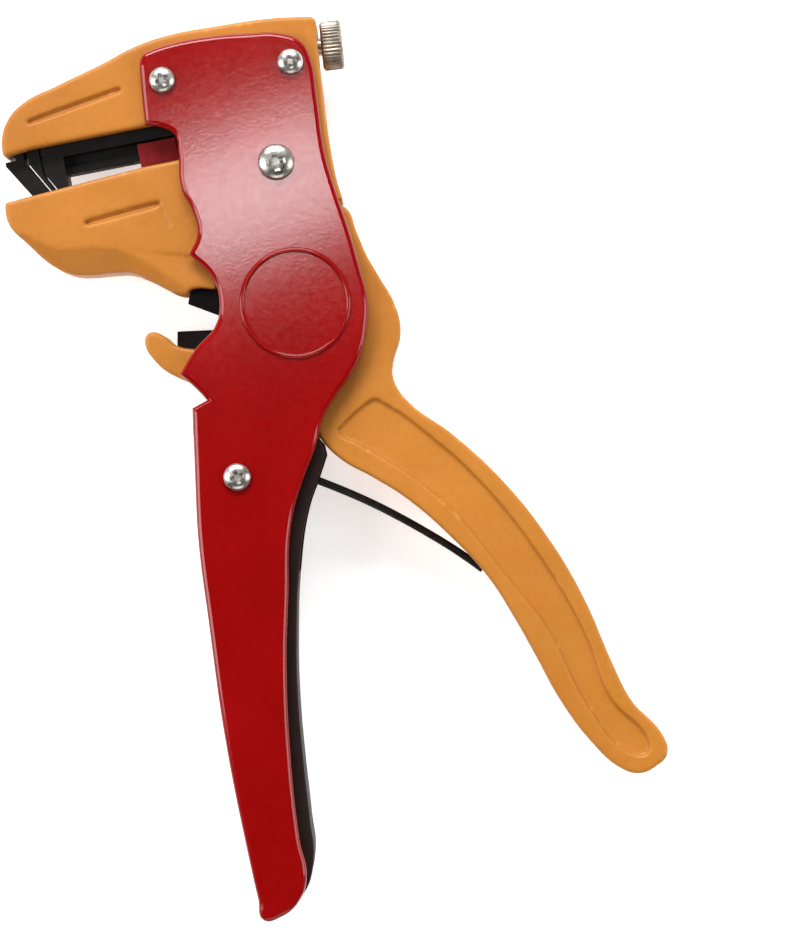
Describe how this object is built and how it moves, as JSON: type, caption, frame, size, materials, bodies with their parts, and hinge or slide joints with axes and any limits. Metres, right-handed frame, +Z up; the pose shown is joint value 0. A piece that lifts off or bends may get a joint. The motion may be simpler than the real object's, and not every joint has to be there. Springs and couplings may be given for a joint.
{
  "type": "automatic wire stripper",
  "caption": "Self-adjusting wire stripper: squeezing the lever clamps the jaws on a cable and draws the blade carrier back to pull the insulation off",
  "frame": {"origin": "where the lever's pivot axis meets the outer face of the rear side plate, on which the tool lies flat", "axes": "+Z up through the tool's thickness towards the front plate, +Y towards the head, +X towards the squeezing lever"},
  "size_m": [0.1262, 0.1711, 0.0242],
  "materials": {
    "red_paint": "glossy red enamel with a slight orange peel",
    "yellow_paint": "satin orange-yellow paint on a casting",
    "black_plastic": "matte black moulded plastic",
    "red_plastic": "moulded red plastic",
    "black_steel": "blackened steel",
    "bright_steel": "bright plated steel",
    "spring_steel": "dark spring wire",
    "bronze": "plain sintered bronze"
  },
  "bodies": {
    "frame": {"side_plate_front": "red_paint", "side_plate_rear": "red_paint", "upper_jaw_body": "yellow_paint", "grip_core": "black_plastic", "upper_grip_pad": "black_steel", "head_screw_front_left": "bright_steel", "head_screw_front_right": "bright_steel", "head_screw_rear_left": "bright_steel", "head_screw_rear_right": "bright_steel", "jaw_pivot_screw_front": "bright_steel", "jaw_pivot_screw_rear": "bright_steel", "main_pivot_pin": "bright_steel", "spring_post": "bright_steel", "post_screw_front": "bright_steel", "post_screw_rear": "bright_steel", "upper_cutter_blade": "black_steel", "cutter_blade_post": "bright_steel", "adjuster_bushing": "bronze", "clamp_spring": "spring_steel"},
    "lever": {"handle_lever": "yellow_paint", "lever_bushing": "bronze", "drive_pin": "bright_steel", "lower_cutter_blade": "black_steel", "cutter_blade_rivet": "bright_steel"},
    "lower_jaw_set": {"lower_jaw": "yellow_paint", "lower_grip_pad": "black_steel", "jaw_bush_front": "bronze", "jaw_bush_rear": "bronze"},
    "upper_carriage": {"upper_blade_carrier": "black_steel", "upper_stripping_blade": "black_steel", "blade_screw": "bright_steel"},
    "lower_carriage": {"lower_blade_carrier": "black_steel", "lower_stripping_blade": "bright_steel"},
    "stop": {"length_stop": "red_plastic"},
    "adjuster_seat": {"spring_seat": "bright_steel"},
    "adjuster": {"adjuster_screw": "bright_steel", "adjuster_knob": "bright_steel"},
    "spring": {"return_spring": "spring_steel"}
  },
  "joints": [
    {"name": "handle_squeeze", "type": "hinge", "parent": "frame", "child": "lever", "pos_m": [0, 0, 0.0112], "axis": [0, 0, -1], "range_deg": [0, 21], "stiffness_Nm_per_rad": 1.2, "springref_deg": -14.32},
    {"name": "lower_jaw_close", "type": "hinge", "parent": "frame", "child": "lower_jaw_set", "pos_m": [-0.00358, 0.02654, 0.0112], "axis": [0, 0, -1], "range_deg": [0, 4.02]},
    {"name": "upper_carriage_slide", "type": "slide", "parent": "frame", "child": "upper_carriage", "axis": [0.9812, 0.193, 0], "range_m": [0, 0.0135], "deforming": ["clamp_spring"]},
    {"name": "lower_carriage_slide", "type": "slide", "parent": "lower_jaw_set", "child": "lower_carriage", "axis": [0.9653, 0.261, 0], "range_m": [0, 0.0135]},
    {"name": "length_stop_slide", "type": "slide", "parent": "upper_carriage", "child": "stop", "axis": [-0.9812, -0.193, 0], "range_m": [0, 0.011]},
    {"name": "adjuster_travel", "type": "slide", "parent": "frame", "child": "adjuster_seat", "axis": [0.9945, 0.1045, 0], "range_m": [0, 0.0021]},
    {"name": "adjuster_turn", "type": "hinge", "parent": "adjuster_seat", "child": "adjuster", "pos_m": [0.00675, 0.0497, 0.0112], "axis": [0.9945, 0.1045, 0], "range_deg": [0, 1082]},
    {"name": "return_spring_swing", "type": "hinge", "parent": "frame", "child": "spring", "pos_m": [-0.01092, -0.03276, 0.0112], "axis": [0, 0, -1], "range_deg": [0, 33.1], "deforming": ["return_spring"]}
  ],
  "couplings": [
    {"joint": "lower_jaw_close", "follows": "handle_squeeze", "ratio": 0.19048},
    {"joint": "upper_carriage_slide", "follows": "handle_squeeze", "m_per_rad": 0.036495},
    {"joint": "lower_carriage_slide", "follows": "handle_squeeze", "m_per_rad": 0.036495},
    {"joint": "return_spring_swing", "follows": "handle_squeeze", "ratio": 1.571},
    {"joint": "adjuster_turn", "follows": "adjuster_travel", "rad_per_m": 8975.9}
  ]
}
